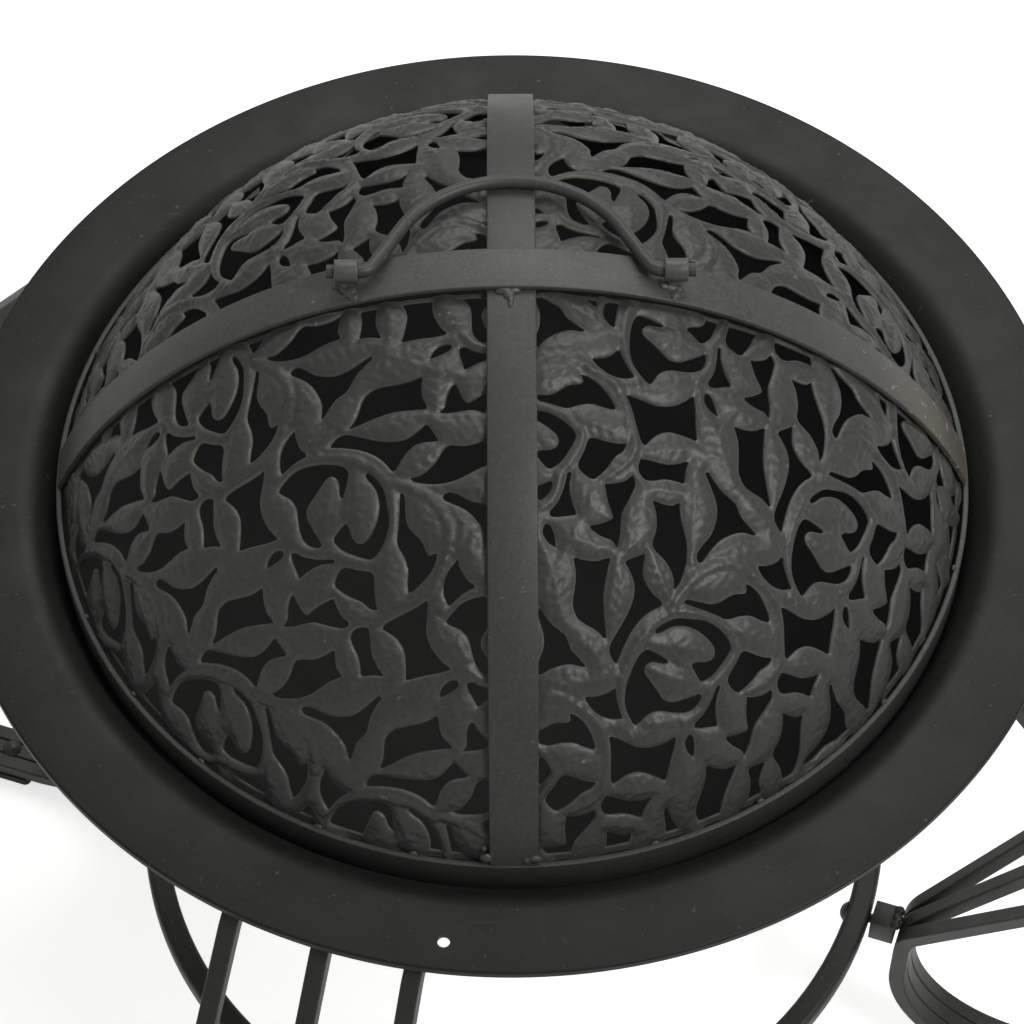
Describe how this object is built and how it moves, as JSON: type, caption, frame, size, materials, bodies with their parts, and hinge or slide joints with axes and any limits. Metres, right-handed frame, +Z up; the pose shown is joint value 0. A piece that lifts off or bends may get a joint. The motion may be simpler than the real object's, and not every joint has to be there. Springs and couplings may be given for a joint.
{
  "type": "brazier",
  "caption": "Round fire bowl with a wide flat rim, a domed leaf-pattern spark screen with a bail handle, and a four-legged stand of bent square bars.",
  "frame": {"origin": "on the floor under the bowl's axis", "axes": "+Z up; +X to the right and -Y to the front of the pictured view"},
  "size_m": [0.7756, 0.7756, 0.6872],
  "materials": {
    "bowl_paint": "satin black heat-proof paint",
    "panel_paint": "satin black heat-proof paint on embossed sheet",
    "screen_paint": "satin black heat-proof paint",
    "stand_paint": "satin black paint",
    "fastener": "black coated steel",
    "foot_pad": "matte"
  },
  "bodies": {
    "stand": {"stand_ring": "stand_paint", "right_leg_bar_1": "stand_paint", "right_leg_bar_2": "stand_paint", "right_leg_bar_3": "stand_paint", "back_leg_bar_1": "stand_paint", "back_leg_bar_2": "stand_paint", "back_leg_bar_3": "stand_paint", "left_leg_bar_1": "stand_paint", "left_leg_bar_2": "stand_paint", "left_leg_bar_3": "stand_paint", "front_leg_bar_1": "stand_paint", "front_leg_bar_2": "stand_paint", "front_leg_bar_3": "stand_paint", "right_leg_bracket": "stand_paint", "back_leg_bracket": "stand_paint", "left_leg_bracket": "stand_paint", "front_leg_bracket": "stand_paint", "right_leg_foot_pad": "foot_pad", "back_leg_foot_pad": "foot_pad", "left_leg_foot_pad": "foot_pad", "front_leg_foot_pad": "foot_pad", "ring_bolts": "fastener", "ring_nuts": "fastener", "foot_bolts": "fastener"},
    "bowl": {"fire_bowl": "bowl_paint"},
    "screen": {"screen_hoop": "screen_paint", "screen_panel_back_right": "panel_paint", "screen_panel_back_left": "panel_paint", "screen_panel_front_left": "panel_paint", "screen_panel_front_right": "panel_paint", "strap_front_back": "screen_paint", "strap_left_right": "screen_paint", "handle_knuckle_left": "screen_paint", "handle_knuckle_right": "screen_paint"},
    "bail": {"bail_handle": "screen_paint"}
  },
  "joints": [
    {"name": "bowl_lift", "type": "slide", "parent": "stand", "child": "bowl", "axis": [0, 0, 1], "range_m": [0, 0.15]},
    {"name": "screen_lift", "type": "slide", "parent": "bowl", "child": "screen", "axis": [0, 0, 1], "range_m": [0, 0.25]},
    {"name": "bail_swing", "type": "hinge", "parent": "screen", "child": "bail", "pos_m": [0, 0, 0.68114], "axis": [1, 0, 0], "range_deg": [0, 185.9]}
  ]
}
